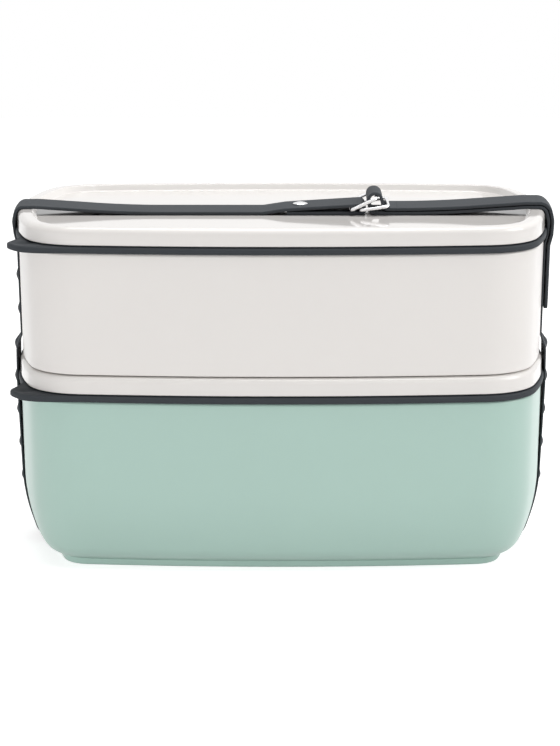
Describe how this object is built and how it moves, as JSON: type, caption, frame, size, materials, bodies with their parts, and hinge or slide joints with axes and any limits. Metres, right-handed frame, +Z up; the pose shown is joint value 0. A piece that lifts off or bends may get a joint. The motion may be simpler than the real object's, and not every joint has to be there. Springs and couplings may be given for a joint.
{
  "type": "bento lunch box",
  "caption": "Two-tier stacking lunch box with sealed lids, held together by an elastic silicone strap that closes through a pair of wire rings on the top lid.",
  "frame": {"origin": "middle of the plane that the foot ring stands on", "axes": "+X along the long side towards the strap's free tail, -Y towards the front with the pull tabs, +Z up"},
  "size_m": [0.2165, 0.1316, 0.1431],
  "materials": {
    "mint_porcelain": "satin glaze",
    "white_porcelain": "satin glaze",
    "lid_plastic": "gloss",
    "silicone": "matt silicone",
    "steel": "polished"
  },
  "bodies": {
    "lower_box": {"lower_box": "mint_porcelain", "strap_base": "silicone", "strap_left_lower": "silicone", "strap_right_lower": "silicone"},
    "lower_lid": {"lower_lid": "lid_plastic", "lower_seal": "silicone", "strap_left_middle": "silicone", "strap_right_middle": "silicone"},
    "upper_box": {"upper_box": "white_porcelain", "strap_left_upper": "silicone", "strap_right_upper": "silicone"},
    "upper_lid": {"upper_lid": "lid_plastic", "upper_seal": "silicone", "strap_top_left": "silicone", "strap_rivet": "steel", "strap_top_right": "silicone", "strap_loop": "silicone"},
    "ring_inner": {"ring_inner": "steel"},
    "ring_outer": {"ring_outer": "steel"},
    "strap_tail": {"strap_tail": "silicone"}
  },
  "joints": [
    {"name": "lower_lid_lift", "type": "slide", "parent": "lower_box", "child": "lower_lid", "axis": [0, 0, 1], "range_m": [0, 0.03], "deforming": ["strap_left_lower", "strap_right_lower"]},
    {"name": "upper_box_lift", "type": "slide", "parent": "lower_lid", "child": "upper_box", "axis": [0, 0, 1], "range_m": [0, 0.03], "deforming": ["strap_left_middle", "strap_right_middle"]},
    {"name": "upper_lid_lift", "type": "slide", "parent": "upper_box", "child": "upper_lid", "axis": [0, 0, 1], "range_m": [0, 0.03], "deforming": ["strap_left_upper", "strap_right_upper"]},
    {"name": "ring_inner_tilt", "type": "hinge", "parent": "upper_lid", "child": "ring_inner", "pos_m": [0.0276, -0.0045, 0.13588], "axis": [0, -1, 0], "range_deg": [0, 35], "deforming": ["strap_loop"]},
    {"name": "ring_outer_tilt", "type": "hinge", "parent": "upper_lid", "child": "ring_outer", "pos_m": [0.0312, -0.0045, 0.13588], "axis": [0, -1, 0], "range_deg": [0, 14], "deforming": ["strap_loop"]},
    {"name": "strap_tail_peel", "type": "hinge", "parent": "upper_lid", "child": "strap_tail", "pos_m": [0.04605, -0.0045, 0.13668], "axis": [0, -1, 0], "range_deg": [0, 75]}
  ]
}
